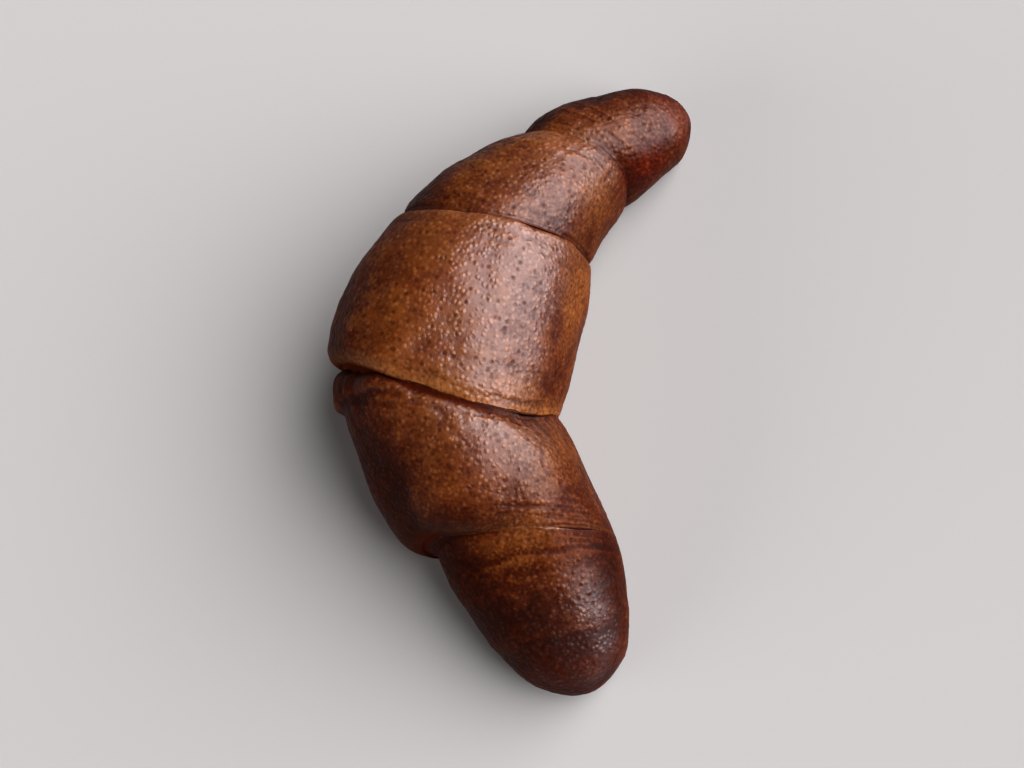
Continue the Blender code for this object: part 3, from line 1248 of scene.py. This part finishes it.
@dataclass(frozen=True)
class CrustFinish:
    """The egg-washed crust: deep brown with a finely blistered gloss, and dull under the dough.

    Its tone goes from 0, the darkest brown, to 1, golden; its low tones also carry painted shade. Sizes and
    depths are in millimetres.
    """

    MARKS = ("raised", "toast_and_shade", "sunk", "rim", "bottom", "washed", "ruddy")  # what the mesh carries

    # The browns of the tone ramp, darkest first; the dark end also stands for painted shade
    darkest_brown: Colour = (0.016, 0.0022, 0.0006)
    dark: Colour = (0.04, 0.0062, 0.0011)
    brown: Colour = (0.094, 0.0222, 0.003)
    golden: Colour = (0.166, 0.0475, 0.0075)
    tan: Colour = (0.143, 0.055, 0.0115)
    light: Colour = (0.28, 0.111, 0.028)
    rim: Colour = (0.29, 0.115, 0.028)
    red: Colour = (1.15, 0.5, 0.45)
    # painted shade in the creases
    crease: Colour = (0.05, 0.006, 0.0012)
    bottom: Colour = (0.2, 0.075, 0.026)

    tone_places: tuple[float, ...] = (0.0, 0.25, 0.55, 0.95)  # the tones of the first four colours
    cloud_size: float = 7.0
    cloud_distortion: float = 0.4
    clouds: Change = Change((0.3, 0.7), (0.49, 0.61))  # from noise to the tone of the plain crust
    grain_size: float = 0.8
    grain: Change = Change((0.32, 0.68))
    grain_tone: float = 0.24
    # Painted shade and light: darker in the creases and recesses, lighter on what stands out, and the painted
    # darkening of toast_and_shade
    tones: tuple[tuple[str, float], ...] = (("raised", 0.14), ("toast_and_shade", -0.46), ("sunk", -0.3))

    tan_size: float = 13.0
    tan_spots: Change = Change((0.48, 0.66), (0.0, 0.4))
    tan_by_tone: Change = Change((0.3, 0.6))
    blister_size: float = 1.35
    dome: Change = Change((0.12, 0.52), (1.0, 0.0))  # a blister's height, by how far its middle is
    blister_choice_size: float = 2.3
    blister_choice: Change = Change((0.4, 0.58), (0.3, 1.0))  # how pale the blisters of a place are
    pale_by_tone: Change = Change((0.2, 0.7), (0.04, 0.44))
    pit_size: float = 1.9
    bowl: Change = Change((0.1, 0.42), (1.0, 0.0))  # a pit's depth, by how far its middle is
    pit_choice_size: float = 3.2
    pit_choice: Change = Change((0.36, 0.54), (0.2, 1.0))  # how deep the pits of a place are
    pit_darkness: float = 0.8
    rim_by_grain: Change = Change((0.1, 0.9), (0.35, 1.0))
    # how far the creases' painted shade covers, by their depth
    painted_crease_shade: Change = Change((0.35, 0.9), (0.0, 0.85))
    underside_size: float = 6.0
    browned: Change = Change((0.35, 0.65), (0.0, 0.85))  # how far the underside is browned

    roughness_size: float = 1.6
    roughness: Change = Change((0.3, 0.7), (0.4, 0.62))
    dullness: float = 0.4  # how much rougher it is in the creases and underneath
    shine: float = 0.03
    coat_size: float = 2.6
    coat: Change = Change((0.3, 0.7), (0.78, 1.02))
    coat_by_tone: Change = Change((0.15, 0.5), (0.5, 1.0))
    coat_by_pits: Change = Change(target=(1.0, 0.35))
    coat_by_blisters: Change = Change(target=(0.8, 1.1))
    thinnest_coat: float = 0.02
    coat_roughness: float = 0.39
    coat_ior: float = 1.56
    blister_depth: float = 0.1
    pit_depth: float = 0.08
    grain_depth: float = 0.07

    def material(self) -> bpy.types.Material:
        """Makes the material.

        Returns:
            The finished material.
        """
        nodes = Shading("browned_crust")
        marks = {name: nodes.attribute(name) for name in self.MARKS}
        marks["blisters"] = nodes.spread(nodes.cells(self.blister_size), self.dome)
        pits = nodes.spread(nodes.cells(self.pit_size), self.bowl)
        chosen = nodes.spread(nodes.noise(self.pit_choice_size, detail=1.0), self.pit_choice)
        marks["pits"] = nodes.math("MULTIPLY", pits, chosen)
        marks["grain"] = nodes.spread(nodes.noise(self.grain_size), self.grain)
        marks["tone"] = self.tone(nodes, marks)
        relief = self.relief(nodes, marks)
        looks = {
            "Base Color": self.colour(nodes, marks),
            "Roughness": self.dulled(nodes, marks),
            "Normal": relief,
            "Coat Normal": relief,
            "Coat Weight": self.wash(nodes, marks),
            "Specular IOR Level": self.shine,
            "Coat Roughness": self.coat_roughness,
            "Coat IOR": self.coat_ior,
        }
        nodes.plug(nodes.shader, looks)
        return nodes.material

    def tone(self, nodes: Shading, marks: dict[str, Socket]) -> Socket:
        """How light the crust is, with the painted shade of the sides, the creases and the recesses in it.

        Args:
            nodes: the material.
            marks: what is known of each point.

        Returns:
            The tone, about from 0 to 1.
        """
        clouds = nodes.noise(self.cloud_size, distortion=self.cloud_distortion)
        tone = nodes.math("SUBTRACT", nodes.spread(clouds, self.clouds), self.grain_tone / 2)
        for name, weight in (("grain", self.grain_tone), *self.tones):
            tone = nodes.math("MULTIPLY_ADD", marks[name], weight, tone)
        return tone

    def colour(self, nodes: Shading, marks: dict[str, Socket]) -> Socket:
        """The crust's colour: browned by its tone, with tan clouds, pale blisters, dark pits and the painted
        shade of the creases on it.

        Args:
            nodes: the material.
            marks: what is known of each point.

        Returns:
            The colour.
        """
        tone = marks["tone"]
        browns = (self.darkest_brown, self.dark, self.brown, self.golden)
        plain = nodes.ramp(tone, tuple(zip(self.tone_places, browns)))
        tan = nodes.spread(nodes.noise(self.tan_size, detail=2.0), self.tan_spots)
        tan = nodes.math("MULTIPLY", tan, nodes.spread(tone, self.tan_by_tone))
        chosen = nodes.spread(nodes.noise(self.blister_choice_size, detail=1.0), self.blister_choice)
        lit = nodes.math("MULTIPLY", marks["blisters"], chosen)
        lit = nodes.math("MULTIPLY", lit, nodes.spread(tone, self.pale_by_tone))
        pitted = nodes.math("MULTIPLY", marks["pits"], self.pit_darkness)
        rim = nodes.math("MULTIPLY", marks["rim"], nodes.spread(marks["grain"], self.rim_by_grain))
        painted_crease_shade = nodes.spread(marks["sunk"], self.painted_crease_shade)
        browned = nodes.spread(nodes.noise(self.underside_size, detail=5.0), self.browned)
        colour = nodes.mix(tan, plain, self.tan)
        colour = nodes.mix(lit, colour, self.light)
        colour = nodes.mix(pitted, colour, self.dark)
        colour = nodes.mix(marks["ruddy"], colour, self.red, blend="MULTIPLY")
        colour = nodes.mix(rim, colour, self.rim)
        colour = nodes.mix(painted_crease_shade, colour, self.crease)
        return nodes.mix(marks["bottom"], colour, nodes.mix(browned, self.bottom, self.brown))

    def dulled(self, nodes: Shading, marks: dict[str, Socket]) -> Socket:
        """How rough the crust is under its wash.

        Args:
            nodes: the material.
            marks: what is known of each point.

        Returns:
            The roughness.
        """
        rough = nodes.spread(nodes.noise(self.roughness_size), self.roughness)
        dull = nodes.math("MAXIMUM", marks["bottom"], marks["sunk"])
        return nodes.math("MULTIPLY_ADD", dull, self.dullness, rough)

    def wash(self, nodes: Shading, marks: dict[str, Socket]) -> Socket:
        """How thick the egg wash is: thin where the crust is dark or pitted, and thick on the blisters.

        Args:
            nodes: the material.
            marks: what is known of each point.

        Returns:
            The weight of the coat.
        """
        wash = nodes.spread(nodes.noise(self.coat_size), self.coat)
        wash = nodes.math("MULTIPLY", marks["washed"], wash)
        wash = nodes.math("MULTIPLY", wash, nodes.spread(marks["tone"], self.coat_by_tone))
        wash = nodes.math("MULTIPLY", wash, nodes.spread(marks["pits"], self.coat_by_pits))
        on_blisters = nodes.spread(marks["blisters"], self.coat_by_blisters)
        return nodes.math("MULTIPLY_ADD", wash, on_blisters, self.thinnest_coat)

    def relief(self, nodes: Shading, marks: dict[str, Socket]) -> Socket:
        """The finest blisters, pits and grain.

        Args:
            nodes: the material.
            marks: what is known of each point.

        Returns:
            The relief as a normal.
        """
        large = nodes.bump(marks["blisters"], self.blister_depth)
        small = nodes.bump(nodes.math("SUBTRACT", 1.0, marks["pits"]), self.pit_depth, large)
        return nodes.bump(nodes.noise(self.grain_size, detail=4.0), self.grain_depth, small)


@dataclass(frozen=True)
class Lamp:
    """A large, round, soft and distant light: the direction it stands in and its width in degrees."""

    name: str
    direction: Place
    width: float
    strength: float
    glossy: bool = True
    colour: Colour = (1.0, 0.95, 0.99)

    def hang(self) -> None:
        """Hangs the light."""
        light = bpy.data.lights.new(self.name, "SUN")
        light.angle = math.radians(self.width)
        light.energy = self.strength
        light.color = self.colour
        lamp = bpy.data.objects.new(self.name, light)
        bpy.context.scene.collection.objects.link(lamp)
        lamp.visible_glossy = self.glossy
        lamp.rotation_euler = (-Vector(self.direction)).to_track_quat("-Z", "Y").to_euler()


@dataclass(frozen=True)
class Studio:
    """A plain pale floor, soft light from the upper right of the view, and the camera over the croissant."""

    FLOOR_CORNERS = 96

    camera_place: tuple[float, float, float] = (-76.7, -66.8, 440.0)
    aim: tuple[float, float, float] = (0.0, 0.0, 16.0)
    lens: float = 63.0
    nearest_seen: float = 10.0  # what is nearer to the camera isn't shown
    lights: tuple[Lamp, ...] = (
        Lamp("key", direction=(0.2, -0.81, 0.56), width=82.0, strength=9.6),
        Lamp("fill", direction=(-0.45, 0.88, 0.1), width=60.0, strength=3.4, glossy=False),
    )
    floor_colour: Colour = (0.345, 0.348, 0.335)
    floor_roughness: float = 0.9
    floor_radius: float = 2000.0
    floor_gap: float = 0.2  # how far under the croissant the floor is
    room_light: float = 0.03
    backdrop_light: float = 0.6
    gamma: float = 0.86
    exposure: float = 0.07

    def build(self) -> None:
        """Sets up the whole studio."""
        self.lay_floor()
        for lamp in self.lights:
            lamp.hang()
        self.place_camera()
        self.set_air()
        self.set_picture()

    def lay_floor(self) -> None:
        """Lays the floor."""
        bpy.ops.object.select_all(action="DESELECT")
        bpy.ops.mesh.primitive_circle_add(
            vertices=self.FLOOR_CORNERS,
            radius=self.floor_radius * MM,
            fill_type="NGON",
            location=(0, 0, -self.floor_gap * MM),
        )
        floor = bpy.context.object
        floor.name = "floor"
        bpy.ops.object.transform_apply(location=True, rotation=True, scale=True)
        material = bpy.data.materials.new("pale_floor")
        material.use_nodes = True
        shader = material.node_tree.nodes["Principled BSDF"]
        shader.inputs["Base Color"].default_value = (*self.floor_colour, 1)
        shader.inputs["Roughness"].default_value = self.floor_roughness
        shader.inputs["Specular IOR Level"].default_value = 0.0
        floor.data.materials.append(material)

    def place_camera(self) -> None:
        """Places the camera, with +X upwards in its picture."""
        place, aim = Vector(self.camera_place) * MM, Vector(self.aim) * MM
        back = (place - aim).normalized()
        right = Vector((1, 0, 0)).cross(back).normalized()
        up = back.cross(right)
        data = bpy.data.cameras.new("camera")
        data.lens = self.lens
        data.clip_start = self.nearest_seen * MM
        camera = bpy.data.objects.new("camera", data)
        bpy.context.scene.collection.objects.link(camera)
        turned = Matrix((right, up, back)).transposed().to_4x4()
        camera.matrix_world = Matrix.Translation(place) @ turned
        bpy.context.scene.camera = camera

    def set_air(self) -> None:
        """Gives the room its dim, even light, behind which a plain backdrop is seen."""
        world = bpy.data.worlds.new("room")
        world.use_nodes = True
        nodes, links = world.node_tree.nodes, world.node_tree.links
        ray = nodes.new("ShaderNodeLightPath").outputs["Is Camera Ray"]
        seen = nodes.new("ShaderNodeMapRange")
        links.new(ray, seen.inputs["Value"])
        seen.inputs["To Min"].default_value = self.room_light
        seen.inputs["To Max"].default_value = self.backdrop_light
        links.new(seen.outputs[0], nodes["Background"].inputs["Strength"])
        nodes["Background"].inputs["Color"].default_value = (1, 1, 1, 1)
        bpy.context.scene.world = world

    def set_picture(self) -> None:
        """Sets how the light is turned into a picture."""
        view = bpy.context.scene.view_settings
        view.view_transform = "Standard"
        view.gamma = self.gamma
        view.exposure = self.exposure


def main() -> None:
    """Builds the croissant and its studio in order."""
    logging.basicConfig(level=logging.INFO, format="%(message)s")
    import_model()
    crust = Body().build()
    CrustSurface().shape(Skin.of(crust))
    crust.data.materials.append(CrustFinish().material())
    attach(crust, BODY)
    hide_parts(NODE)
    log.info("%s: %d faces", crust.name, len(crust.data.polygons))
    Studio().build()


if __name__ == "__main__":
    main()
